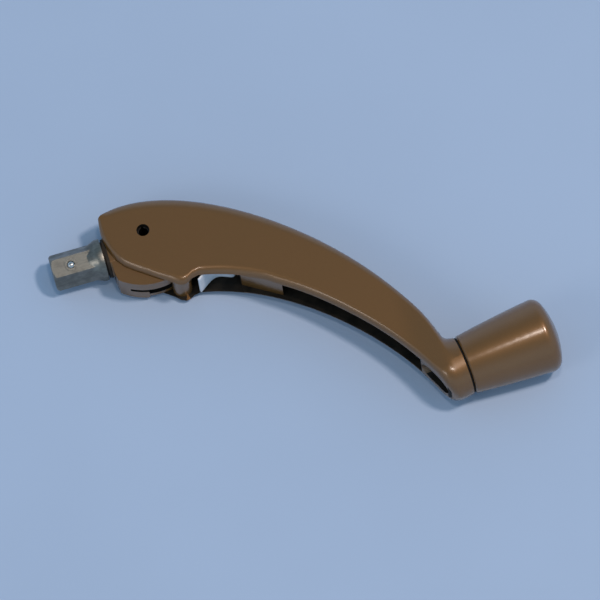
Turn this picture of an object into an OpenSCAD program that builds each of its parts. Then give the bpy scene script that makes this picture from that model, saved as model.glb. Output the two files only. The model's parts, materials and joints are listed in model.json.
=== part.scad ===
// Folding crank handle for a casement window operator.
// The drive stud lies along the X axis with its end face at the origin, and the rest of the handle
// is on the +X side of it. XY is the handle's plane of symmetry and the pivot pin runs along Z.
// The handle is shown unfolded, ready to turn.

/* [Drive stud] */
// Width of the hexagon across its flats
hex_af = 7.94; // [6:0.01:9]
// Length of the hexagon, from the end face to the start of the flare
hex_len = 8.8; // [7:0.1:14]
// Turn of the hexagon about the drive axis
hex_turn = 9.5; // [-30:0.5:30]
// Chamfer round the end face
stud_chamfer = 0.6; // [0.2:0.1:1.2]
// Length of the flare between the hexagon and the shoulder
flare_len = 3.0; // [1.5:0.1:5]
// Diameter of the round shoulder
shoulder_d = 10.35; // [9.4:0.05:12]
// Length of the round shoulder
shoulder_len = 1.1; // [0.6:0.1:3]
// Diameter of the shank that is held in the hub
shank_d = 6.4; // [5:0.1:7]
// Diameter of the cross pin through the shank
cross_pin_d = 2.0; // [1.2:0.1:2.6]
// Thickness of the seal ring behind the shoulder
seal_t = 1.2; // [0.8:0.05:1.5]

/* [Detent] */
// Diameter of the detent ball
ball_d = 2.2; // [1.8:0.05:2.4]
// Outer diameter of the sleeve that holds the ball
sleeve_d = 3.2; // [2.9:0.05:3.8]
// Distance from the end face to the ball
ball_at = 4.8; // [3.5:0.1:6.5]
// Travel of the ball into the sleeve
ball_travel = 0.45; // [0.2:0.05:0.5]

/* [Hub] */
// Width of the hub between the two cheeks of the arm
hub_w = 8.0; // [7.5:0.1:11]
// Radius of the hub's round underside about the pivot pin
drum_r = 13.7; // [13:0.05:13.9]
// Diameter of the hub's nose behind the seal ring
nose_d = 9.9; // [9:0.1:12]
// Width of the slot along the hub's underside
hub_slot_w = 1.2; // [0.5:0.1:2]

/* [Pivot] */
// Diameter of the pivot pin
pin_d = 3.175; // [2.5:0.005:4]
// Distance from the back of the shoulder to the pivot pin
pin_ahead = 11.0; // [10.8:0.1:12]
// Height of the pivot pin above the drive axis
pin_up = 2.1; // [1.5:0.1:2.6]
// Thickness of the washer on each side of the hub
washer_t = 0.25; // [0.15:0.05:0.6]
// Outer diameter of those washers
washer_d = 9.2; // [6:0.1:10]

/* [Arm] */
// Distance from the pivot pin to the knob's seat, along the drive axis
arm_reach = 64.7; // [53:0.1:80]
// Distance from the pivot pin down to the knob's seat
arm_drop = 55.1; // [45:0.1:68]
// Thickness of each cheek beside the hub
cheek_t = 1.45; // [1.2:0.05:3]
// Thickness of the arm's back over the pocket and the channel
crown_t = 2.1; // [1.5:0.1:2.6]
// Radius along the edges of the arm's back
crown_r = 3.3; // [1.5:0.1:4]
// Radius along the arm's lower edges
rim_r = 2.0; // [0.6:0.1:2]
// Height by which the +Z wall is shorter beside the pocket and the pad
relief = 0.9; // [0:0.1:2]
// Height by which the +Z wall is shorter where the channel starts
relief_channel = 0.5; // [0:0.1:1.5]
// Thickness of the walls beside the open channel
channel_wall = 1.9; // [1.2:0.1:2.5]
// Diameter of the round end that carries the knob
boss_d = 14.5; // [13:0.1:17]
// Lean of the knob's axis away from the drive axis
knob_lean = 5.5; // [0:0.5:10]

/* [Leaf spring] */
// Thickness of the spring strip
leaf_t = 0.5; // [0.3:0.05:0.6]

/* [Knob] */
// Length of the knob
knob_len = 23.5; // [21:0.1:32]
// Diameter of the knob where it meets the arm
knob_d_small = 14.6; // [13:0.1:17]
// Diameter of the knob at its outer end
knob_d_large = 18.4; // [17:0.1:24]
// Bulge of the knob's side between its ends
knob_bulge = 0.15; // [0:0.05:0.5]
// Radius of the dome on the knob's end
knob_dome_r = 21; // [15:0.5:60]
// Radius round the knob's outer end
knob_edge_r = 2.6; // [1:0.1:3]
// Diameter of the axle that the knob turns on
axle_d = 6.0; // [5:0.1:6.5]
// Outer diameter of the bush in the knob
bush_d = 10.0; // [9:0.1:10.6]
// Thickness of the washer between the arm and the knob
knob_washer_t = 0.45; // [0.3:0.05:1]

/* [Hidden] */
$fn = 64;

run_gap = 0.05;      // radial clearance of each running fit
side_gap = 0.05;     // clearance beside each running face
through = 30;        // length that carries a cut right through its piece

bronze = "#7a5c3e";
steel = "#7d7a72";
bright_steel = "#b4bcc2";
black = "#15140f";
nylon = "#c9c4b4";

// Places along the drive axis
hex_corner_r = hex_af / sqrt(3);
shoulder_x = hex_len + flare_len;
seal_x = shoulder_x + shoulder_len;
nose_x = seal_x + seal_t;
nose_len = 0.3;
hub_x = nose_x + nose_len;
pin = [seal_x + pin_ahead, pin_up];
shank_end_x = pin[0] - pin_d / 2 - 1.8;
cross_pin_x = (hub_x + shank_end_x) / 2;

// Half widths across the handle
cheek_in = hub_w / 2 + washer_t + side_gap;
arm_h = cheek_in + cheek_t;
channel_h = arm_h - channel_wall;
pocket_r = drum_r + 0.5;

// The knob's seat on the arm, and the direction of its axis
seat = pin + [arm_reach, -arm_drop];
knob_dir = [cos(knob_lean), sin(knob_lean)];
knob_up = [-sin(knob_lean), cos(knob_lean)];
boss_r = boss_d / 2;
boss_top = seat + boss_r * knob_up;
boss_low = seat - boss_r * knob_up;

// ---- curves ----
function bez(p, t) = pow(1 - t, 3) * p[0] + 3 * pow(1 - t, 2) * t * p[1]
                     + 3 * (1 - t) * t * t * p[2] + pow(t, 3) * p[3];
function bez_dir(p, t) = pow(1 - t, 2) * (p[1] - p[0]) + 2 * (1 - t) * t * (p[2] - p[1])
                         + t * t * (p[3] - p[2]);
function unit(v) = v / norm(v);
function left_of(v) = [-v[1], v[0]];
function polar(r, a) = r * [cos(a), sin(a)];
function mix(a, b, u) = a + (b - a) * u;
function smooth(a, b, t) = let (u = min(1, max(0, (t - a) / (b - a)))) u * u * (3 - 2 * u);

// The arm's back, from its front corner to the boss, and the short hollow curve onto the boss
front = pin + [-9.4, 7.7];
back = [front, front + [0.302 * arm_reach, 7.3], boss_top + [-0.224 * arm_reach, 0.628 * arm_drop],
        boss_top + [-2.5, 1.1]];
back_toe = [back[3], back[3] + [0.3, -0.8], boss_top - 0.8 * knob_dir, boss_top];
back_share = 0.92;
brow_drop = 0.9;              // how far the back dips at its front corner
function back_at(t) = t < back_share ? bez(back, t / back_share) - [0, brow_drop * (1 - smooth(0, 0.06, t))]
                                     : bez(back_toe, (t - back_share) / (1 - back_share));

// The arm's lower edge: front edge, flank beside the hub, lobe, belly, and the chin onto the boss
flank_end = pin + [3.1, -15];
brow = [front + [0, -0.3], front + [-1.4, -4.8], front + [-1.4, -10.6], pin + [-6.3, -7.8]];
lobe = [flank_end, flank_end + [2, -2.5], flank_end + [3.2, -2.4], pin + [8.3, -15.6]];
belly = [lobe[3], lobe[3] + [0.325 * arm_reach, -3.4], boss_low + [-0.223 * arm_reach, 0.395 * arm_drop],
         boss_low + [-6.6, 2.8]];
chin = [belly[3], belly[3] + [0.9, -1.8], boss_low - 4.9 * knob_dir - 0.4 * knob_up,
        boss_low - 2.6 * knob_dir - 0.3 * knob_up];
edge_share = [0, 0.14, 0.24, 0.32, 0.88, 0.96, 1];
function edge_part(t, i) = (t - edge_share[i]) / (edge_share[i + 1] - edge_share[i]);
function edge_at(t) =
    t < edge_share[1] ? bez(brow, edge_part(t, 0))
    : t < edge_share[2] ? mix(brow[3], flank_end, edge_part(t, 1))
    : t < edge_share[3] ? bez(lobe, edge_part(t, 2))
    : t < edge_share[4] ? bez(belly, edge_part(t, 3))
    : t < edge_share[5] ? bez(chin, edge_part(t, 4))
    : mix(chin[3], boss_low, edge_part(t, 5));

// ---- the arm's outer body: a rounded section carried from the front corner to the boss ----
arm_steps = 56;
relief_from = [0.2, 0.33];      // where the +Z wall becomes shorter, along the arm
relief_step = [0.475, 0.495];   // where it gains height again beyond the pad
relief_to = [0.5, 0.66];        // where it reaches its full height
crown_steps = 7;
rim_steps = 5;
function half_section(depth, h, crown, rim) = concat(
    [for (i = [0:crown_steps]) [crown, h - crown] + polar(crown, 180 - 90 * i / crown_steps)],
    [for (i = [0:rim_steps]) [depth - rim, h - rim] + polar(rim, 90 - 90 * i / rim_steps)]);
function section(t) =
    let (top = back_at(t), low = edge_at(t), depth = norm(low - top), down = unit(low - top),
         h = mix(arm_h, boss_r, smooth(0.76, 0.96, t)), round = smooth(0.84, 0.965, t),
         crown = min(mix(crown_r, h, round), 0.42 * depth + 0.08 * depth * round),
         rim = min(mix(rim_r, h, round), 0.42 * depth + 0.08 * depth * round),
         short = smooth(relief_from[0], relief_from[1], t) * (1 - smooth(relief_to[0], relief_to[1], t))
                 * mix(relief, relief_channel, smooth(relief_step[0], relief_step[1], t)),
         near = half_section(depth - short, h, crown, rim), far = half_section(depth, h, crown, rim),
         last = len(far) - 1)
    [for (i = [0:2 * last + 1]) let (upper = i <= last, p = upper ? near[i] : far[2 * last + 1 - i])
     [each (top + down * p[0]), upper ? p[1] : -p[1]]];
module arm_body() {
    rings = [for (i = [0:arm_steps]) section(mix(0.012, 1, i / arm_steps))];
    n = len(rings[0]);
    walls = [for (i = [0:arm_steps - 1], j = [0:n - 1]) let (a = i * n + j, b = i * n + (j + 1) % n)
             each [[a, b, a + n], [b, b + n, a + n]]];
    ends = [[for (j = [n - 1:-1:0]) j], [for (j = [0:n - 1]) arm_steps * n + j]];
    polyhedron([for (ring = rings) each ring], concat(walls, ends));
}

// ---- hollows of the arm ----
function roof_at(t) = bez(back, t) - crown_t * left_of(unit(bez_dir(back, t)));
function roof_t(x) = max([for (i = [0:200]) if (roof_at(i / 200)[0] <= x) i / 200]);
pad_x = pin[0] + 0.303 * arm_reach;
channel_x = pad_x + 0.135 * arm_reach;
bar_at = [5.6, -13.1];        // the round bar between the lobes, from the pin
bar_r = 2.5;
roof_steps = 20;

// The pocket round the hub and the leaf spring, open below and in front
module hub_pocket() {
    roof = [for (i = [0:roof_steps]) roof_at(roof_t(pad_x) * i / roof_steps)];
    linear_extrude(2 * cheek_in, center = true) {
        difference() {
            polygon(concat([roof[0] - [through, 0]], roof, [[pad_x, roof[roof_steps][1]]],
                           [[pad_x, pin[1] - through], [roof[0][0] - through, pin[1] - through]]));
            difference() {
                translate(pin + bar_at) circle(bar_r);
                translate(pin) circle(pocket_r);
            }
        }
    }
}
// The shallow recess in the pad's underside, between the two walls
pad_span = [0.42, 0.5];       // where the recess's slope is set, along the arm
pad_recess = [2.1, 1.3];      // its depth at those two places
module pad_cut() {
    from = edge_at(pad_span[0]) + [0, pad_recess[0]];
    to = edge_at(pad_span[1]) + [0, pad_recess[1]];
    run = (to - from) / 8;
    linear_extrude(2 * channel_h, center = true)
        polygon([from - run, to + run, to + run - [0, 10], from - run - [0, 10]]);
}
// The long channel between the pad and the boss, open below
channel_end = 0.807;
module channel() {
    from = roof_t(channel_x + 1);
    to = 0.925;
    roof = [for (i = [0:roof_steps]) roof_at(mix(from, to, i / roof_steps))];
    below = [for (i = [0:8]) edge_at(mix(channel_end, 0.5, i / 8)) - [2, 3]];
    linear_extrude(2 * channel_h, center = true)
        polygon(concat(roof, [edge_at(channel_end)], below, [[channel_x, below[8][1]]]));
}
module at_knob() {
    translate([seat[0], seat[1], 0]) rotate([0, 0, knob_lean]) rotate([0, 90, 0]) children();
}
// The slot behind the knob where the axle's head is riveted
rivet_floor = 4.2;            // thickness of the boss under the rivet head
slot_r = 3;
slot_half = 1.5;
slot_drop = 0.5;              // how far the slot's middle is below the axle
module rivet_slot() {
    at_knob() translate([0, 0, -rivet_floor - through]) {
        for (side = [-1, 1]) translate([0, side * slot_half - slot_drop, 0]) cylinder(h = through, r = slot_r);
        translate([-slot_r, -slot_half - slot_drop, 0]) cube([2 * slot_r, 2 * slot_half, through]);
    }
}
rivet_r = axle_d / 3;
module handle_arm() {
    color(bronze) difference() {
        arm_body();
        hub_pocket();
        pad_cut();
        channel();
        rivet_slot();
        translate([pin[0], pin[1], -through]) cylinder(h = 2 * through, d = pin_d);
        at_knob() translate([0, 0, -through / 2]) cylinder(h = through, r = rivet_r);
    }
}

// ---- the hub ----
nose_gap = 0.15;              // clearance between those flats and each cheek
cam_r = 5.7;                  // radius of the hub behind the pin, under the arm's back
drum_from = -132;             // the drum's arc about the pin, in degrees
drum_to = -78;
drum_slot_depth = 4;
drum_slot_from = -6.8;        // where the narrow slot starts, ahead of the pin
drum_recess_from = -2.6;      // where it opens into the wide recess
drum_recess_low = -2.7;       // the recess's far side
drum_far_drop = 0.45;         // how much lower the rim is beyond the recess
module hub_outline() {
    heel = [hub_x, front[1] - crown_t - 0.4];
    chin_corner = [hub_x, -nose_d / 2 - 0.9];
    translate(pin) circle(cam_r);
    intersection() {
        translate(pin) circle(drum_r);
        polygon([heel, pin + polar(cam_r - 0.5, 80), pin + polar(cam_r - 0.5, -20),
                 pin + polar(2 * drum_r, drum_to), pin + polar(2 * drum_r, (drum_from + drum_to) / 2),
                 chin_corner + 2 * (pin + polar(drum_r, drum_from) - chin_corner), chin_corner]);
    }
}
// A cut into the drum's rim, from a place beside the pin onwards
module rim_cut(from, low, high, depth) {
    translate([0, 0, low]) linear_extrude(high - low) difference() {
        translate(pin + [from, -through]) square([through, through - 4]);
        translate(pin) circle(drum_r - depth);
    }
}
// The flats that keep the nose and the seal ring clear of the arm's cheeks
module between_cheeks() {
    cube([2 * through, 2 * through, 2 * (cheek_in - nose_gap)], center = true);
}
module drive_hub() {
    color(bronze) difference() {
        union() {
            linear_extrude(hub_w, center = true) hub_outline();
            intersection() {
                translate([nose_x, 0, 0]) rotate([0, 90, 0]) cylinder(h = nose_len + 1, d = nose_d);
                between_cheeks();
            }
        }
        translate([pin[0], pin[1], -through]) cylinder(h = 2 * through, d = pin_d + 2 * run_gap);
        translate([nose_x - 1, 0, 0]) rotate([0, 90, 0])
            cylinder(h = shank_end_x - nose_x + 1, d = shank_d);
        translate([cross_pin_x, 0, -through]) cylinder(h = 2 * through, d = cross_pin_d);
        rim_cut(drum_slot_from, -hub_slot_w / 2, hub_slot_w / 2, drum_slot_depth);
        rim_cut(drum_recess_from, drum_recess_low, hub_slot_w / 2 - 0.1, drum_slot_depth);
        rim_cut(drum_recess_from, -hub_w, drum_recess_low + 0.1, drum_far_drop);
    }
}

// ---- the drive stud ----
module drive_stud() {
    tip_r = hex_corner_r - stud_chamfer;
    color(steel) difference() {
        union() {
            intersection() {
                rotate([hex_turn, 0, 0]) rotate([0, 90, 0]) rotate([0, 0, 30])
                    cylinder(h = shoulder_x, r = hex_corner_r, $fn = 6);
                rotate([0, 90, 0]) rotate_extrude()
                    polygon([[0, 0], [tip_r, 0], [hex_corner_r + 0.1, stud_chamfer + 0.1],
                             [hex_corner_r + 0.1, shoulder_x], [0, shoulder_x]]);
            }
            rotate([0, 90, 0]) rotate_extrude()
                polygon([[0, hex_len], [hex_af / 2, hex_len], [shoulder_d / 2, shoulder_x],
                         [shoulder_d / 2, seal_x], [shank_d / 2, seal_x],
                         [shank_d / 2, shank_end_x], [0, shank_end_x]]);
        }
        at_ball() translate([0, 0, sleeve_floor]) cylinder(h = through, d = sleeve_d);
        translate([cross_pin_x, 0, -through]) cylinder(h = 2 * through, d = cross_pin_d);
    }
}
module stud_pin() {
    color(steel) translate([cross_pin_x, 0, -hub_w / 2 + 0.2]) cylinder(h = hub_w - 0.4, d = cross_pin_d);
}
// The ring has a narrow groove of its own beside the shoulder
seal_groove = [0.4, 0.6];     // the groove's width and depth
module seal_ring() {
    outer_r = nose_d / 2 - 0.1;
    color(black) intersection() {
        translate([seal_x, 0, 0]) rotate([0, 90, 0]) rotate_extrude()
            polygon([[shank_d / 2, 0], [outer_r - seal_groove[1], 0], [outer_r - seal_groove[1], seal_groove[0]],
                     [outer_r, seal_groove[0]], [outer_r, seal_t], [shank_d / 2, seal_t]]);
        between_cheeks();
    }
}

// ---- the detent, square to one flat of the hexagon ----
sleeve_top = hex_af / 2 + 0.12;
sleeve_floor = sleeve_top - 4.4;
sleeve_wall = 0.4;            // thickness of the sleeve's floor
lip_t = 0.2;
ball_bore_r = ball_d / 2 + run_gap;
lip_r = ball_d / 2 - 0.15;
ball_z = sleeve_top - lip_t - 0.03 - sqrt(pow(ball_d / 2, 2) - pow(lip_r, 2));
module at_ball() {
    rotate([hex_turn, 0, 0]) translate([ball_at, 0, 0]) children();
}
module detent_sleeve() {
    color(steel) at_ball() difference() {
        translate([0, 0, sleeve_floor]) cylinder(h = sleeve_top - sleeve_floor, d = sleeve_d);
        translate([0, 0, sleeve_floor + sleeve_wall])
            cylinder(h = sleeve_top - lip_t - sleeve_floor - sleeve_wall, r = ball_bore_r);
        translate([0, 0, 0]) cylinder(h = through, r = lip_r);
    }
}
module detent_ball() {
    color(bright_steel) at_ball() translate([0, 0, ball_z]) sphere(d = ball_d);
}
wire_d = 0.26;
coil_turns = 5;
coil_steps = 14;
coil_sides = 6;
module detent_spring() {
    low = sleeve_floor + sleeve_wall + wire_d / 2 + 0.02;
    high = ball_z - ball_d / 2 - wire_d / 2 + 0.06;
    count = coil_turns * coil_steps;
    coil_r = ball_d / 2 - wire_d;
    rings = [for (i = [0:count]) let (a = 360 * i / coil_steps, z = mix(low, high, i / count))
             [for (j = [0:coil_sides - 1]) let (p = polar(wire_d / 2, 360 * j / coil_sides))
              [(coil_r + p[0]) * cos(a), (coil_r + p[0]) * sin(a), z + p[1]]]];
    walls = [for (i = [0:count - 1], j = [0:coil_sides - 1])
             let (a = i * coil_sides + j, b = i * coil_sides + (j + 1) % coil_sides)
             each [[a, b, a + coil_sides], [b, b + coil_sides, a + coil_sides]]];
    ends = [[for (j = [coil_sides - 1:-1:0]) j], [for (j = [0:coil_sides - 1]) count * coil_sides + j]];
    color(bright_steel) at_ball() polyhedron([for (ring = rings) each ring], concat(walls, ends));
}

// ---- the pivot ----
pin_recess = 1.3;             // how far each end of the pin lies below the cheek's face
module pivot_pin() {
    length = 2 * (arm_h - pin_recess);
    color(steel) translate([pin[0], pin[1], -length / 2]) difference() {
        cylinder(h = length, d = pin_d);
        translate([0, 0, -1]) cylinder(h = length + 2, d = 0.72 * pin_d);
        translate([-0.3, 0, -1]) cube([0.6, pin_d, length + 2]);
    }
}
module hub_washer() {
    color(black) translate([pin[0], pin[1], cheek_in - washer_t]) difference() {
        cylinder(h = washer_t, d = washer_d);
        translate([0, 0, -1]) cylinder(h = washer_t + 2, d = pin_d + 0.2);
    }
}
module hub_washer_upper() { hub_washer(); }
module hub_washer_lower() { mirror([0, 0, 1]) hub_washer(); }

// ---- the leaf spring: a strip bent back on itself in the pocket between the hub and the pad ----
leaf_h = cheek_in - 0.5;      // half the strip's width
leaf_tip = pin + [9.5, -15.8];
leaf_bend = [pad_x - 1.9, pin[1] - 14.1];
leaf_touch = pin + polar(drum_r + leaf_t + 0.2, -25);
leaf_curves = [
    [leaf_tip, leaf_tip + [1.9, 1.35], leaf_tip + [3.5, 2.85], leaf_tip + [5, 2.8]],
    [leaf_tip + [5, 2.8], leaf_tip + [6.1, 2.76], leaf_bend - [1.2, -0.45], leaf_bend],
    [leaf_bend, leaf_bend + [1.5, -0.56], leaf_bend + [1.8, 2.6], leaf_bend + [-0.2, 2.8]],
    [leaf_bend + [-0.2, 2.8], leaf_bend + [-3.6, 3.2], leaf_touch + [-0.4, -2.5], leaf_touch],
    [leaf_touch, leaf_touch + [0.15, 0.9], leaf_touch + [0.6, 1.6], leaf_touch + [1.6, 2.2]]];
leaf_steps = 8;
module leaf_spring() {
    side = [for (c = leaf_curves, i = [0:leaf_steps - 1]) [bez(c, i / leaf_steps),
            leaf_t / 2 * left_of(unit(bez_dir(c, i / leaf_steps)))]];
    color(bright_steel) linear_extrude(2 * leaf_h, center = true)
        polygon(concat([for (p = side) p[0] + p[1]],
                       [for (i = [len(side) - 1:-1:0]) side[i][0] - side[i][1]]));
}

// ---- the knob, along its own axis from its seat on the arm ----
knob_from = knob_washer_t + 0.1;
bush_to = knob_from + 14.4;
ring_from = bush_to + side_gap + 0.5;
ring_t = 0.6;
axle_end = ring_from + ring_t + 0.9;
groove_r = axle_d / 2 - 0.5;
module washer(from, thick, inner_d, outer_d) {
    at_knob() translate([0, 0, from]) difference() {
        cylinder(h = thick, d = outer_d);
        translate([0, 0, -1]) cylinder(h = thick + 2, d = inner_d);
    }
}
module knob_axle() {
    color(steel) at_knob() rotate_extrude()
        polygon([[0, -rivet_floor - 1.2], [rivet_r - 0.1, -rivet_floor - 1.2],
                 [rivet_r + 0.35, -rivet_floor - 0.8], [rivet_r + 0.35, -rivet_floor],
                 [rivet_r, -rivet_floor], [rivet_r, 0], [axle_d / 2, 0], [axle_d / 2, ring_from],
                 [groove_r, ring_from], [groove_r, ring_from + ring_t],
                 [axle_d / 2, ring_from + ring_t], [axle_d / 2, axle_end - 0.4],
                 [axle_d / 2 - 0.4, axle_end], [0, axle_end]]);
}
module knob_washer() { color(black) washer(0, knob_washer_t, axle_d + 2 * run_gap, boss_d - 0.5); }
module thrust_washer() {
    color(nylon) washer(ring_from - 0.45, 0.45, axle_d + 2 * run_gap, bush_d - 0.8);
}
module axle_ring() {
    color(bright_steel) at_knob() translate([0, 0, ring_from]) difference() {
        cylinder(h = ring_t, d = bush_d - 1.6);
        translate([0, 0, -1]) cylinder(h = ring_t + 2, r = groove_r);
        translate([0, -0.8 * groove_r, -1]) cube([bush_d, 1.6 * groove_r, ring_t + 2]);
    }
}
module knob_bush() {
    color(nylon) washer(knob_from, bush_to - knob_from, axle_d + 2 * run_gap, bush_d);
}
arc_steps = 10;
flank_steps = 8;
module knob_shell() {
    end = knob_from + knob_len;
    centre_r = knob_d_large / 2 - knob_edge_r;
    lean = asin(centre_r / (knob_dome_r - knob_edge_r));
    centre = [centre_r, end - knob_dome_r + (knob_dome_r - knob_edge_r) * cos(lean)];
    taper = atan((knob_d_large - knob_d_small) / 2 / (centre[1] - knob_from));
    lip = 0.35;
    edge = [for (i = [0:arc_steps]) centre + polar(knob_edge_r, mix(-taper, 90 - lean, i / arc_steps))];
    dome = [for (i = [1:arc_steps]) [0, end - knob_dome_r] + polar(knob_dome_r, mix(90 - lean, 90, i / arc_steps))];
    heel = [knob_d_small / 2, knob_from + lip];
    flank = [for (i = [0:flank_steps - 1]) let (u = i / flank_steps)
             mix(heel, edge[0], u) + [4 * knob_bulge * u * (1 - u), 0]];
    color(bronze) at_knob() difference() {
        rotate_extrude($fn = 96)
            polygon(concat([[0, knob_from], [knob_d_small / 2 - lip, knob_from]], flank, edge, dome));
        translate([0, 0, knob_from - 1]) cylinder(h = axle_end + 0.8 - knob_from + 1, d = bush_d);
    }
}

drive_hub();
drive_stud();
stud_pin();
seal_ring();
detent_sleeve();
detent_spring();
detent_ball();
handle_arm();
pivot_pin();
hub_washer_upper();
hub_washer_lower();
leaf_spring();
knob_axle();
knob_washer();
thrust_washer();
axle_ring();
knob_bush();
knob_shell();
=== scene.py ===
"""Folding window crank handle: the finished look of each piece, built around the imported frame."""

import json
import math

import bmesh
import bpy
from bpy.props import FloatProperty, FloatVectorProperty, PointerProperty
from mathutils import Matrix, Vector
from mathutils.bvhtree import BVHTree


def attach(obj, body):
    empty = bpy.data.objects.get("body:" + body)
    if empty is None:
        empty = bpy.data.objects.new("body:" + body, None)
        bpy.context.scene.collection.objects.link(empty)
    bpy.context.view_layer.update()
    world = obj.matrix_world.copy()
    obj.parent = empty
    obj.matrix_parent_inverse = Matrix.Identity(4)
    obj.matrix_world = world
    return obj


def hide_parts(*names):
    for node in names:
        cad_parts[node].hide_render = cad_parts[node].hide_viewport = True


bl_info = {
    "name": "Window crank handle",
    "version": (1, 0, 0),
    "blender": (4, 5, 0),
    "location": "3D View > Sidebar > Crank handle",
    "description": "Builds the casting, drive stud, spring and knob of a folding window crank handle",
    "category": "Add Mesh",
}

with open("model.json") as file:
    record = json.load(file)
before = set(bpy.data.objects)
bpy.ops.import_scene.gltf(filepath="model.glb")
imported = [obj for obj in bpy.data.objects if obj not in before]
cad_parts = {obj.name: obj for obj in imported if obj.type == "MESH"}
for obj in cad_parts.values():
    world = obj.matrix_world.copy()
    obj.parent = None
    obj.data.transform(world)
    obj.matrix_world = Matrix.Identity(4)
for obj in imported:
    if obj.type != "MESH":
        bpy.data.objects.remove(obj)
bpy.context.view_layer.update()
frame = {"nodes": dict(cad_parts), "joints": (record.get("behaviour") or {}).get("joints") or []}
MM = 0.001
JOINTS = {joint["name"]: joint for joint in frame["joints"]}
KNOB_SEAT = Vector(JOINTS["knob_spin"]["pos_m"])
KNOB_AXIS = Vector(JOINTS["knob_spin"]["axis"]).normalized()

# How near another wall of a casting is to a face inside a hollow that gets painted shade, and how far off the
# face the test starts.
FACING_REACH = 12 * MM
DEEP_REACH = 14 * MM
HUB_SLOT_REACH = 4 * MM
RAY_LIFT = 0.02 * MM

# The slot for the riveted end of the axle, whose floor gets painted shade, measured from the knob's seat
# along the knob's axis.
RIVET_SLOT = (-6 * MM, -3 * MM)
RIVET_SLOT_RADIUS = 5.2 * MM

# Bright and dull colours of the plain metals, and of the unpainted inside of the castings, which is also
# darkened as painted shade.
PLAIN_STEEL = (0.40, 0.40, 0.40), (0.22, 0.22, 0.22)
# The pin steel is near black: a blackened finish, and painted shade for the deep hole the pin sits in.
BLACKENED_SHADED_STEEL = (0.045, 0.042, 0.040), (0.02, 0.019, 0.018)
BALL_STEEL = (0.62, 0.61, 0.58), (0.42, 0.41, 0.39)
AXLE_STEEL = (0.34, 0.35, 0.37), (0.16, 0.165, 0.18)
DULL_WIRE = (0.5, 0.5, 0.5)
DULL_STRIP = (0.72, 0.74, 0.76)
# Near-black inside colours: painted shade in the hollows, over the bare casting's own dark tone.
BARE_SHADED_INSIDE = (0.010, 0.008, 0.0055)
DUSTY_SHADED_INSIDE = (0.032, 0.023, 0.015)
SHADED_INSIDE_PREVIEW = (0.02, 0.016, 0.011)

# How close the drawn lines lie in x, y and z: the smallest value is the way they run.
LINES_ALONG_X = (260, 2600, 2600)
LINES_ALONG_Z = (2400, 2400, 240)
LINES_ALONG_STRIP = (240, 240, 2600)

# The stage: what the camera looks at, and where the handle touches the floor.
LOOK_AT = Vector((56.05, -21.8, -6.65)) * MM
FRONT_CORNER = Vector((14.5, 9.3, -5.78)) * MM
LOBE = Vector((27.0, -14.5, -5.78)) * MM
KNOB_RIM = Vector((108.0, -51.0, -9.12)) * MM
FLOOR_REACH = 3.0
HORIZON = (0.44, 0.62, 0.84)
OVERHEAD = (0.10, 0.22, 0.32)


# ---- settings ----

class CastingSettings(bpy.types.PropertyGroup):
    """Sizes and colours of the painted castings."""
    paint: FloatVectorProperty(
        name="Paint", description="Colour of the bronze paint", subtype="COLOR",
        size=3, min=0, max=1, default=(0.186, 0.088, 0.023))
    paint_shade: FloatVectorProperty(
        name="Paint shade", description="Darker colour that the paint drifts to", subtype="COLOR",
        size=3, min=0, max=1, default=(0.152, 0.073, 0.020))
    edge_radius: FloatProperty(
        name="Edge radius", description="Radius that the cast edges are broken by", subtype="DISTANCE",
        unit="LENGTH", min=0.00002, max=0.0006, precision=5, default=0.00022)
    grain_size: FloatProperty(
        name="Paint grain", description="Size of the ripples in the paint", subtype="DISTANCE",
        unit="LENGTH", min=0.0001, max=0.003, precision=5, default=0.0007)


class MetalSettings(bpy.types.PropertyGroup):
    """Sizes and colours of the bare metal pieces."""
    zinc: FloatVectorProperty(
        name="Zinc plate", description="Colour of the plated drive stud", subtype="COLOR",
        size=3, min=0, max=1, default=(0.25, 0.238, 0.205))
    zinc_dull: FloatVectorProperty(
        name="Dulled plate", description="Colour of the plate where it has dulled", subtype="COLOR",
        size=3, min=0, max=1, default=(0.13, 0.127, 0.112))
    spring: FloatVectorProperty(
        name="Spring steel", description="Colour of the bright spring strip", subtype="COLOR",
        size=3, min=0, max=1, default=(0.86, 0.88, 0.90))
    edge_radius: FloatProperty(
        name="Edge radius", description="Radius that the turned edges are broken by", subtype="DISTANCE",
        unit="LENGTH", min=0.00002, max=0.0004, precision=5, default=0.00012)


class PlasticSettings(bpy.types.PropertyGroup):
    """Colours of the washers, the seal ring and the bush."""
    black: FloatVectorProperty(
        name="Black", description="Colour of the black washers", subtype="COLOR",
        size=3, min=0, max=1, default=(0.008, 0.007, 0.006))
    rubber: FloatVectorProperty(
        name="Dark rubber", description="Colour of the seal ring", subtype="COLOR",
        size=3, min=0, max=1, default=(0.026, 0.018, 0.011))
    natural: FloatVectorProperty(
        name="Natural nylon", description="Colour of the bush inside the knob", subtype="COLOR",
        size=3, min=0, max=1, default=(0.72, 0.69, 0.60))


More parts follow.
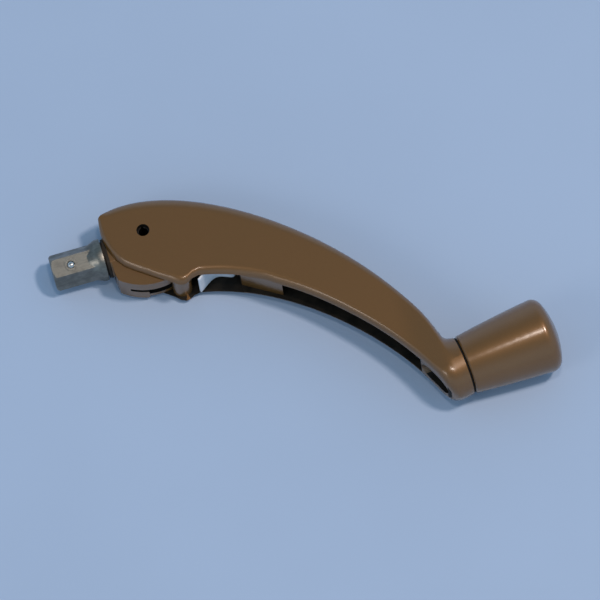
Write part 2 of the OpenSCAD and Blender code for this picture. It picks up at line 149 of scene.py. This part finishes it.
class StageSettings(bpy.types.PropertyGroup):
    """The floor, the lights and the camera."""
    floor: FloatVectorProperty(
        name="Floor", description="Colour of the pale floor", subtype="COLOR",
        size=3, min=0, max=1, default=(0.42, 0.53, 0.69))
    lens: FloatProperty(
        name="Lens", description="Focal length of the camera, in millimetres", min=50, max=800, default=420)
    distance: FloatProperty(
        name="Distance", description="Distance from the camera to the handle", subtype="DISTANCE",
        unit="LENGTH", min=0.5, max=4, default=1.704)
    tilt: FloatProperty(
        name="Tilt", description="How far the camera leans off the handle's pivot axis", subtype="ANGLE",
        unit="ROTATION", default=math.radians(23))
    turn: FloatProperty(
        name="Turn", description="How far the camera is turned towards the drive stud", subtype="ANGLE",
        unit="ROTATION", default=math.radians(3))
    roll: FloatProperty(
        name="Roll", description="Roll of the camera about its own axis", subtype="ANGLE",
        unit="ROTATION", default=math.radians(16))
    key_power: FloatProperty(
        name="Key light", description="Power of the main light, in watts",
        min=0, max=200, default=6.6)
    top_power: FloatProperty(
        name="Top light", description="Power of the small light overhead, in watts",
        min=0, max=200, default=1.9)
    fill_power: FloatProperty(
        name="Fill light", description="Power of the broad light at the side, in watts",
        min=0, max=200, default=2.0)
    room_light: FloatProperty(
        name="Room light", description="Strength of the light from all round", min=0, max=3, default=0.85)


# ---- shader node helpers ----

def node(tree, kind, inputs=None, **settings):
    made = tree.nodes.new(kind)
    for key, value in settings.items():
        setattr(made, key, value)
    for key, value in (inputs or {}).items():
        if isinstance(value, bpy.types.NodeSocket):
            tree.links.new(value, made.inputs[key])
        else:
            made.inputs[key].default_value = value
    return made


def new_group(name, inputs, outputs):
    """A shader node group with named float, vector or colour sockets, and its two end nodes."""
    tree = bpy.data.node_groups.new(name, "ShaderNodeTree")
    kinds = {"value": "NodeSocketFloat", "vector": "NodeSocketVector", "colour": "NodeSocketColor"}
    for label, kind, default in inputs:
        socket = tree.interface.new_socket(label, in_out="INPUT", socket_type=kinds[kind])
        socket.default_value = default
    for label, kind in outputs:
        tree.interface.new_socket(label, in_out="OUTPUT", socket_type=kinds[kind])
    return tree, tree.nodes.new("NodeGroupInput").outputs, tree.nodes.new("NodeGroupOutput").inputs


def use_group(tree, group, **inputs):
    made = tree.nodes.new("ShaderNodeGroup")
    made.node_tree = group
    for label, value in inputs.items():
        key = label.replace("_", " ")
        if isinstance(value, bpy.types.NodeSocket):
            tree.links.new(value, made.inputs[key])
        else:
            made.inputs[key].default_value = value
    return made.outputs


def ramp(tree, value, low, high):
    """Maps a value from low..high to 0..1, clamped and smooth."""
    return node(tree, "ShaderNodeMapRange", {"Value": value, "From Min": low, "From Max": high},
                interpolation_type="SMOOTHSTEP").outputs["Result"]


def blend_colour(tree, factor, a, b):
    """Mixes two colours, each a socket or three numbers."""
    mixed = node(tree, "ShaderNodeMix", data_type="RGBA", blend_type="MIX")
    tree.links.new(factor, mixed.inputs[0])
    for index, colour in ((6, a), (7, b)):
        if isinstance(colour, bpy.types.NodeSocket):
            tree.links.new(colour, mixed.inputs[index])
        else:
            mixed.inputs[index].default_value = (*colour, 1)
    return mixed.outputs[2]


def lighter(colour, factor, lift=0.0):
    return tuple(min(1.0, factor * c + lift) for c in colour)


def scaled(tree, value, factor, offset=0.0):
    return node(tree, "ShaderNodeMath", {0: value, 1: factor, 2: offset}, operation="MULTIPLY_ADD").outputs[0]


def one_over(tree, value):
    return node(tree, "ShaderNodeMath", {0: 1.0, 1: value}, operation="DIVIDE").outputs[0]


def noise(tree, place, scale, detail, roughness):
    made = node(tree, "ShaderNodeTexNoise", {
        "Vector": place, "Scale": scale, "Detail": detail, "Roughness": roughness})
    return made.outputs["Fac"]


def ripple_group():
    """Soft ripples and fine speckle, such as a sprayed coat or a moulding has."""
    if "Ripples" in bpy.data.node_groups:
        return bpy.data.node_groups["Ripples"]
    tree, given, out = new_group(
        "Ripples", [("Size", "value", 0.0007), ("Drift Size", "value", 0.012)],
        [("Height", "value"), ("Speckle", "value"), ("Drift", "value")])
    place = node(tree, "ShaderNodeTexCoord").outputs["Object"]
    fine = one_over(tree, given["Size"])
    ripples = noise(tree, place, fine, 2.0, 0.45)
    speckle = noise(tree, place, scaled(tree, fine, 4.0), 1.0, 0.6)
    drift = noise(tree, place, one_over(tree, given["Drift Size"]), 3.0, 0.55)
    tree.links.new(ripples, out["Height"])
    tree.links.new(ramp(tree, speckle, 0.3, 0.7), out["Speckle"])
    tree.links.new(ramp(tree, drift, 0.32, 0.68), out["Drift"])
    return tree


def drawn_lines_group():
    """Fine lines along one direction, as drawing, rolling or turning leaves."""
    if "Drawn lines" in bpy.data.node_groups:
        return bpy.data.node_groups["Drawn lines"]
    tree, given, out = new_group(
        "Drawn lines", [("Stretch", "vector", (200.0, 3000.0, 3000.0)), ("Drift Size", "value", 0.003)],
        [("Lines", "value"), ("Drift", "value")])
    place = node(tree, "ShaderNodeTexCoord").outputs["Object"]
    pulled = node(tree, "ShaderNodeVectorMath", {0: place, 1: given["Stretch"]}, operation="MULTIPLY")
    lines = noise(tree, pulled.outputs[0], 1.0, 3.0, 0.6)
    drift = noise(tree, place, one_over(tree, given["Drift Size"]), 4.0, 0.6)
    tree.links.new(ramp(tree, lines, 0.3, 0.7), out["Lines"])
    tree.links.new(ramp(tree, drift, 0.35, 0.65), out["Drift"])
    return tree


def new_material(name, preview):
    made = bpy.data.materials.new(name)
    made.use_nodes = True
    made.diffuse_color = (*preview, 1)
    tree = made.node_tree
    tree.nodes.clear()
    shader = tree.nodes.new("ShaderNodeBsdfPrincipled")
    tree.links.new(shader.outputs["BSDF"], tree.nodes.new("ShaderNodeOutputMaterial").inputs["Surface"])
    return made, tree, shader


def bump(tree, shader, height, strength, distance):
    raised = node(tree, "ShaderNodeBump", {"Height": height, "Strength": strength, "Distance": distance})
    tree.links.new(raised.outputs["Normal"], shader.inputs["Normal"])


# ---- materials ----

def bronze_paint(casting):
    """Bronze metallic paint with a thin clear top, a little uneven."""
    if "Bronze paint" in bpy.data.materials:
        return bpy.data.materials["Bronze paint"]
    made, tree, shader = new_material("Bronze paint", casting.paint)
    coat = use_group(tree, ripple_group(), Size=casting.grain_size, Drift_Size=0.011)
    colour = blend_colour(tree, scaled(tree, coat["Drift"], 0.45), casting.paint, casting.paint_shade)
    colour = blend_colour(tree, scaled(tree, coat["Speckle"], 0.4), colour, lighter(casting.paint, 1.3))
    tree.links.new(colour, shader.inputs["Base Color"])
    tree.links.new(scaled(tree, coat["Drift"], 0.07, 0.40), shader.inputs["Roughness"])
    shader.inputs["Metallic"].default_value = 0.45
    shader.inputs["Specular IOR Level"].default_value = 0.0
    shader.inputs["Coat Weight"].default_value = 1.0
    shader.inputs["Coat IOR"].default_value = 1.6
    shader.inputs["Coat Roughness"].default_value = 0.22
    bump(tree, shader, coat["Height"], 0.08, 0.0001)
    return made


def bare_and_shaded_casting():
    """The rough inside of the casting, bare where little paint reaches and darkened nearly to black as
    painted shade in its hollows.
    """
    if "Shaded bare casting" in bpy.data.materials:
        return bpy.data.materials["Shaded bare casting"]
    made, tree, shader = new_material("Shaded bare casting", SHADED_INSIDE_PREVIEW)
    skin = use_group(tree, ripple_group(), Size=0.0005, Drift_Size=0.004)
    # Drifts between two near-black tones; the darkness is painted shade.
    dust_and_shade = blend_colour(tree, scaled(tree, skin["Drift"], 0.7), BARE_SHADED_INSIDE, DUSTY_SHADED_INSIDE)
    tree.links.new(dust_and_shade, shader.inputs["Base Color"])
    tree.links.new(scaled(tree, skin["Speckle"], 0.15, 0.55), shader.inputs["Roughness"])
    shader.inputs["Specular IOR Level"].default_value = 0.15
    bump(tree, shader, skin["Height"], 0.4, 0.0002)
    return made


def even_grain(closeness):
    """The stretch of a metal whose marks run in no one direction."""
    return (closeness,) * 3


def bare_metal(name, colour, dull, roughness, stretch, patches=0.003, metallic=1.0):
    """Plain metal with drawn or turned lines and dulled patches."""
    if name in bpy.data.materials:
        return bpy.data.materials[name]
    made, tree, shader = new_material(name, colour)
    marks = use_group(tree, drawn_lines_group(), Stretch=stretch, Drift_Size=patches)
    tone = blend_colour(tree, scaled(tree, marks["Drift"], 0.8), colour, dull)
    tone = blend_colour(tree, scaled(tree, marks["Lines"], 0.35), tone, lighter(colour, 1.18))
    tree.links.new(tone, shader.inputs["Base Color"])
    tree.links.new(scaled(tree, marks["Drift"], 0.16, roughness), shader.inputs["Roughness"])
    shader.inputs["Metallic"].default_value = metallic
    bump(tree, shader, marks["Lines"], 0.12, 0.00003)
    return made


def plain_plastic(name, colour, roughness, shine=0.5):
    """Moulded plastic or rubber with a faint texture."""
    if name in bpy.data.materials:
        return bpy.data.materials[name]
    made, tree, shader = new_material(name, colour)
    skin = use_group(tree, ripple_group(), Size=0.0003, Drift_Size=0.004)
    tone = blend_colour(tree, skin["Speckle"], colour, lighter(colour, 1.25, 0.002))
    tree.links.new(tone, shader.inputs["Base Color"])
    tree.links.new(scaled(tree, skin["Drift"], 0.12, roughness), shader.inputs["Roughness"])
    shader.inputs["Specular IOR Level"].default_value = shine
    bump(tree, shader, skin["Height"], 0.15, 0.00004)
    return made


def floor_card(colour):
    """Matt card, very slightly uneven."""
    made, tree, shader = new_material("Floor card", colour)
    fibre = use_group(tree, ripple_group(), Size=0.0012, Drift_Size=0.08)
    tone = blend_colour(tree, fibre["Drift"], colour, lighter(colour, 1.03))
    tree.links.new(tone, shader.inputs["Base Color"])
    shader.inputs["Roughness"].default_value = 0.9
    shader.inputs["Specular IOR Level"].default_value = 0.2
    bump(tree, shader, fibre["Height"], 0.05, 0.0002)
    return made


# ---- mesh helpers ----

def link(name, mesh, material, body, slot_name, *stands_for):
    made = bpy.data.objects.new(name, mesh)
    bpy.context.scene.collection.objects.link(made)
    mesh.materials.clear()
    mesh.materials.append(material)
    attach(made, body)
    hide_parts(*stands_for)
    return made


def finish_mesh(bm, name, sharp_angle):
    """Writes the mesh with smooth faces and with edges sharper than the angle kept crisp."""
    bmesh.ops.recalc_face_normals(bm, faces=bm.faces[:])
    for face in bm.faces:
        face.smooth = True
    for edge in bm.edges:
        edge.smooth = not (len(edge.link_faces) == 2 and edge.calc_face_angle(0) > sharp_angle)
    mesh = bpy.data.meshes.new(name)
    bm.to_mesh(mesh)
    bm.free()
    return mesh


def from_frame(cad_node, name, material, body, slot_name, edge_radius,
               bevel_angle=35, segments=2, flat_angle=0.3):
    """A piece with the CAD node's own shape: one skin, flats in one face each, and its edges broken."""
    bm = bmesh.new()
    bm.from_mesh(frame["nodes"][cad_node].data)
    bmesh.ops.remove_doubles(bm, verts=bm.verts, dist=2e-7)
    bmesh.ops.dissolve_limit(bm, angle_limit=math.radians(flat_angle), verts=bm.verts, edges=bm.edges)
    mesh = finish_mesh(bm, name, math.radians(bevel_angle))
    made = link(name, mesh, material, body, slot_name, cad_node)
    if edge_radius:
        soften = made.modifiers.new("Broken edges", "BEVEL")
        soften.width = edge_radius
        soften.segments = segments
        soften.limit_method = "ANGLE"
        soften.angle_limit = math.radians(bevel_angle)
        soften.miter_outer = "MITER_ARC"
        soften.use_clamp_overlap = True
    level = made.modifiers.new("Flat faces stay flat", "WEIGHTED_NORMAL")
    level.keep_sharp = edge_radius == 0
    level.weight = 80
    return made


def shade_inside(piece, material, gap=0.0):
    """Gives the hollows of a casting a near-black lining: painted shade where light hardly reaches, over the
    bare metal.

    A face lies inside if it looks at another wall, lies deep between two walls, stands in a slot
    narrower than twice the gap, or belongs to the slot behind the knob's axle.
    """
    mesh = piece.data
    mesh.materials.append(material)
    tree = BVHTree.FromPolygons([v.co for v in mesh.vertices], [list(p.vertices) for p in mesh.polygons])

    def meets(start, direction, reach):
        return tree.ray_cast(start, direction.normalized(), reach)[0] is not None

    for face in mesh.polygons:
        start = face.center + RAY_LIFT * face.normal
        opens_down = face.normal.y < 0.3 and abs(face.normal.z) < 0.6
        deep = opens_down and all(meets(start, Vector((0, -1, side)), DEEP_REACH) for side in (-1, 1))
        narrow = gap > 0 and all(meets(start, Vector((0, 0, side)), gap) for side in (-1, 1))
        seat = face.center - KNOB_SEAT
        along = seat.dot(KNOB_AXIS)
        behind_axle = (RIVET_SLOT[0] < along < RIVET_SLOT[1] and face.normal.dot(KNOB_AXIS) < -0.5
                       and (seat - along * KNOB_AXIS).length < RIVET_SLOT_RADIUS)
        if meets(start, face.normal, FACING_REACH) or deep or narrow or behind_axle:
            face.material_index = 1


def turned_ring(name, profile, sides, origin, axis):
    """A closed ring of revolution: profile is a list of (distance along the axis, radius)."""
    bm = bmesh.new()
    turn = axis.to_track_quat("Z", "Y").to_matrix().to_4x4()
    place = Matrix.Translation(origin) @ turn
    angles = [2 * math.pi * i / sides for i in range(sides)]
    rings = [[bm.verts.new(place @ Vector((radius * math.cos(a), radius * math.sin(a), along)))
              for a in angles] for along, radius in profile]
    for a, b in zip(rings, rings[1:] + rings[:1]):
        for i in range(sides):
            j = (i + 1) % sides
            bm.faces.new([a[i], a[j], b[j], b[i]])
    return finish_mesh(bm, name, math.radians(40))


def span_about(cad_node, origin, axis):
    """Lowest and highest place along an axis, and lowest and highest radius, of a CAD node."""
    along, radius = [], []
    for v in frame["nodes"][cad_node].data.vertices:
        offset = v.co - origin
        along.append(offset.dot(axis))
        radius.append((offset - along[-1] * axis).length)
    return min(along), max(along), min(radius), max(radius)


# ---- operators, one for each piece or group of like pieces ----

class HANDLE_OT_arm(bpy.types.Operator):
    """Build the hollow painted arm with its edges broken as cast"""
    bl_idname = "crank_handle.arm"
    bl_label = "Arm casting"

    def execute(self, context):
        casting = context.scene.crank_casting
        arm = from_frame("handle_arm", "arm_casting", bronze_paint(casting), "arm", "bronze_paint",
                         casting.edge_radius, segments=3)
        # The arm's hollows get the near-black lining as painted shade.
        shade_inside(arm, bare_and_shaded_casting())
        return {"FINISHED"}


class HANDLE_OT_hub(bpy.types.Operator):
    """Build the painted hub between the arm's cheeks"""
    bl_idname = "crank_handle.hub"
    bl_label = "Drive hub"

    def execute(self, context):
        casting = context.scene.crank_casting
        hub = from_frame("drive_hub", "hub_casting", bronze_paint(casting), "coupling", "bronze_paint",
                         casting.edge_radius)
        # The hub's hollows and its narrow slot get the near-black lining as painted shade.
        shade_inside(hub, bare_and_shaded_casting(), HUB_SLOT_REACH)
        return {"FINISHED"}


class HANDLE_OT_stud(bpy.types.Operator):
    """Build the plated drive stud, its cross pin and the seal ring"""
    bl_idname = "crank_handle.stud"
    bl_label = "Drive stud"

    def execute(self, context):
        metal = context.scene.crank_metal
        plastic = context.scene.crank_plastic
        zinc = bare_metal("Zinc plate", metal.zinc, metal.zinc_dull, 0.34, LINES_ALONG_X)
        from_frame("drive_stud", "drive_stud_plated", zinc, "coupling", "zinc_steel", metal.edge_radius,
                   bevel_angle=24)
        steel = bare_metal("Plain steel", *PLAIN_STEEL, 0.32, LINES_ALONG_Z)
        frame["nodes"]["stud_pin"].data.materials[0] = steel
        rubber = plain_plastic("Dark rubber", plastic.rubber, 0.6, 0.25)
        from_frame("seal_ring", "seal_ring_rubber", rubber, "coupling", "black_rubber", 0.08 * MM)
        return {"FINISHED"}


class HANDLE_OT_detent(bpy.types.Operator):
    """Build the detent: ball, staked sleeve and coil spring"""
    bl_idname = "crank_handle.detent"
    bl_label = "Detent"

    def execute(self, context):
        metal = context.scene.crank_metal
        zinc = bare_metal("Staked sleeve", metal.zinc, metal.zinc_dull, 0.38, even_grain(1800), 0.001)
        ball = bare_metal("Ball steel", *BALL_STEEL, 0.18, even_grain(900), 0.0012)
        spring = bare_metal("Coil wire", metal.spring, DULL_WIRE, 0.25, even_grain(1500), 0.001)
        from_frame("detent_sleeve", "detent_sleeve_staked", zinc, "coupling", "zinc_steel", 0.05 * MM)
        frame["nodes"]["detent_ball"].data.materials[0] = ball
        frame["nodes"]["detent_spring"].data.materials[0] = spring
        return {"FINISHED"}


class HANDLE_OT_pivot(bpy.types.Operator):
    """Build the pivot: the slit roll pin and the two hub washers"""
    bl_idname = "crank_handle.pivot"
    bl_label = "Pivot pin and washers"

    def execute(self, context):
        plastic = context.scene.crank_plastic
        # The roll pin is near-black steel, partly painted shade for the deep hole it sits in.
        dark = bare_metal("Blackened steel with painted shade", *BLACKENED_SHADED_STEEL, 0.40, LINES_ALONG_Z)
        from_frame("pivot_pin", "pivot_roll_pin", dark, "arm", "plain_steel", 0.06 * MM)
        black = plain_plastic("Black nylon", plastic.black, 0.6, 0.1)
        for cad_node in ("hub_washer_upper", "hub_washer_lower"):
            frame["nodes"][cad_node].data.materials[0] = black
        return {"FINISHED"}


class HANDLE_OT_leaf_spring(bpy.types.Operator):
    """Build the bright spring strip under the arm"""
    bl_idname = "crank_handle.leaf_spring"
    bl_label = "Leaf spring"

    def execute(self, context):
        metal = context.scene.crank_metal
        strip = bare_metal("Bright spring strip", metal.spring, DULL_STRIP, 0.42, LINES_ALONG_STRIP, 0.004,
                           metallic=0.1)
        from_frame("leaf_spring", "leaf_spring_strip", strip, "arm", "spring_steel", 0.04 * MM,
                   bevel_angle=50, flat_angle=0.05)
        return {"FINISHED"}


class HANDLE_OT_knob(bpy.types.Operator):
    """Build the painted knob, smooth from its seat to its rounded end"""
    bl_idname = "crank_handle.knob"
    bl_label = "Knob"

    def execute(self, context):
        casting = context.scene.crank_casting
        from_frame("knob_shell", "knob_body", bronze_paint(casting), "knob", "bronze_paint", 0,
                   flat_angle=0.02)
        return {"FINISHED"}


class HANDLE_OT_knob_bearing(bpy.types.Operator):
    """Build what the knob runs on: axle, bush, washers and retaining ring"""
    bl_idname = "crank_handle.knob_bearing"
    bl_label = "Knob axle, bush and washers"

    def execute(self, context):
        metal = context.scene.crank_metal
        plastic = context.scene.crank_plastic
        black = plain_plastic("Black nylon", plastic.black, 0.6, 0.1)
        low, high, inner, outer = span_about("knob_washer", KNOB_SEAT, KNOB_AXIS)
        edge = 0.1 * MM
        profile = [(low, inner), (low, outer - edge), (low + edge, outer), (high - edge, outer),
                   (high, outer - edge), (high, inner)]
        washer = turned_ring("knob_washer_black", profile, 128, KNOB_SEAT, KNOB_AXIS)
        link("knob_washer_black", washer, black, "arm", "black_nylon", "knob_washer")
        axle = bare_metal("Axle steel", *AXLE_STEEL, 0.34, LINES_ALONG_X, 0.0015)
        from_frame("knob_axle", "knob_axle_riveted", axle, "arm", "plain_steel", 0.08 * MM)
        natural = plain_plastic("Natural nylon", plastic.natural, 0.4)
        for cad_node in ("knob_bush", "thrust_washer"):
            frame["nodes"][cad_node].data.materials[0] = natural
        ring = bare_metal("Ring spring steel", metal.spring, DULL_WIRE, 0.28, even_grain(1500), 0.001)
        frame["nodes"]["axle_ring"].data.materials[0] = ring
        return {"FINISHED"}


def camera_frame(stage):
    """The camera's right, up and backward directions, from its tilt, turn and roll."""
    back = Vector((-math.sin(stage.turn), -math.sin(stage.tilt), 0))
    back.z = math.sqrt(1 - back.length_squared)
    across = (Vector((1, 0, 0)) - back.x * back).normalized()
    above = back.cross(across)
    right = math.cos(stage.roll) * across - math.sin(stage.roll) * above
    up = math.sin(stage.roll) * across + math.cos(stage.roll) * above
    return right, up, back


class HANDLE_OT_stage(bpy.types.Operator):
    """Set the floor, the lights and the camera"""
    bl_idname = "crank_handle.stage"
    bl_label = "Floor, lights and camera"

    def execute(self, context):
        stage = context.scene.crank_stage
        right, up, back = camera_frame(stage)
        lens = bpy.data.cameras.new("Camera")
        lens.lens, lens.sensor_width = stage.lens, 36
        lens.clip_start, lens.clip_end = 0.05, 20
        camera = bpy.data.objects.new("Camera", lens)
        context.scene.collection.objects.link(camera)
        camera.matrix_world = Matrix.Translation(LOOK_AT + stage.distance * back) @ Matrix(
            (right, up, back)).transposed().to_4x4()
        context.scene.camera = camera

        # The handle rests on the front corner and the lobe of the arm and on the knob's big rim.
        normal = (LOBE - FRONT_CORNER).cross(KNOB_RIM - FRONT_CORNER).normalized()
        middle = LOOK_AT - (LOOK_AT - FRONT_CORNER).dot(normal) * normal
        turn = normal.to_track_quat("Z", "Y").to_matrix().to_4x4()
        bm = bmesh.new()
        bmesh.ops.create_grid(bm, x_segments=24, y_segments=24, size=FLOOR_REACH)
        bm.transform(Matrix.Translation(middle) @ turn)
        mesh = bpy.data.meshes.new("floor")
        bm.to_mesh(mesh)
        bm.free()
        floor = bpy.data.objects.new("floor", mesh)
        context.scene.collection.objects.link(floor)
        mesh.materials.append(floor_card(stage.floor))

        # Each light has its name, direction, distance, width, power and colour.
        lights = (
            ("Key", Vector((0.42, -0.09, 0.90)), 1.3, 0.17, stage.key_power, (1.0, 0.84, 0.77)),
            ("Top", Vector((0.06, -0.15, 0.987)), 1.3, 0.09, stage.top_power, (1.0, 0.88, 0.80)),
            ("Fill", Vector((-0.66, -0.32, 0.68)), 1.5, 0.5, stage.fill_power, (1.0, 0.93, 0.88)),
        )
        for name, towards, distance, size, power, colour in lights:
            lamp = bpy.data.lights.new(name, "AREA")
            lamp.shape, lamp.size, lamp.energy, lamp.color = "DISK", size, power, colour
            light = bpy.data.objects.new(name, lamp)
            context.scene.collection.objects.link(light)
            towards = towards.normalized()
            light.matrix_world = Matrix.Translation(LOOK_AT + distance * towards) @ towards.to_track_quat(
                "Z", "Y").to_matrix().to_4x4()
        world = bpy.data.worlds.new("Soft room")
        world.use_nodes = True
        tree = world.node_tree
        sky = tree.nodes["Background"]
        towards = node(tree, "ShaderNodeTexCoord").outputs["Generated"]
        height = node(tree, "ShaderNodeVectorMath", {0: towards, 1: tuple(normal)}, operation="DOT_PRODUCT")
        overhead = ramp(tree, height.outputs["Value"], 0.35, 0.95)
        tree.links.new(blend_colour(tree, overhead, HORIZON, OVERHEAD), sky.inputs["Color"])
        sky.inputs["Strength"].default_value = stage.room_light
        context.scene.world = world
        context.scene.view_settings.view_transform = "Standard"
        return {"FINISHED"}


class HANDLE_PT_panel(bpy.types.Panel):
    """Lists the pieces of the crank handle and their settings"""
    bl_idname = "HANDLE_PT_panel"
    bl_label = "Window crank handle"
    bl_space_type = "VIEW_3D"
    bl_region_type = "UI"
    bl_category = "Crank handle"

    def draw(self, context):
        groups = (("Stage", context.scene.crank_stage), ("Castings", context.scene.crank_casting),
                  ("Metal", context.scene.crank_metal), ("Plastic", context.scene.crank_plastic))
        for label, group in groups:
            box = self.layout.box()
            box.label(text=label)
            for key in group.__annotations__:
                box.prop(group, key)
        for operator in OPERATORS:
            self.layout.operator(operator.bl_idname)


SETTINGS = (("crank_casting", CastingSettings), ("crank_metal", MetalSettings),
            ("crank_plastic", PlasticSettings), ("crank_stage", StageSettings))
OPERATORS = (HANDLE_OT_stage, HANDLE_OT_arm, HANDLE_OT_hub, HANDLE_OT_stud, HANDLE_OT_detent,
             HANDLE_OT_pivot, HANDLE_OT_leaf_spring, HANDLE_OT_knob, HANDLE_OT_knob_bearing)


def register():
    for key, settings in SETTINGS:
        bpy.utils.register_class(settings)
        setattr(bpy.types.Scene, key, PointerProperty(type=settings))
    for operator in OPERATORS:
        bpy.utils.register_class(operator)
    bpy.utils.register_class(HANDLE_PT_panel)


def unregister():
    bpy.utils.unregister_class(HANDLE_PT_panel)
    for operator in reversed(OPERATORS):
        bpy.utils.unregister_class(operator)
    for key, settings in reversed(SETTINGS):
        delattr(bpy.types.Scene, key)
        bpy.utils.unregister_class(settings)


def main():
    register()
    for operator in OPERATORS:
        group, name = operator.bl_idname.split(".")
        getattr(getattr(bpy.ops, group), name)()


if __name__ == "__main__":
    main()
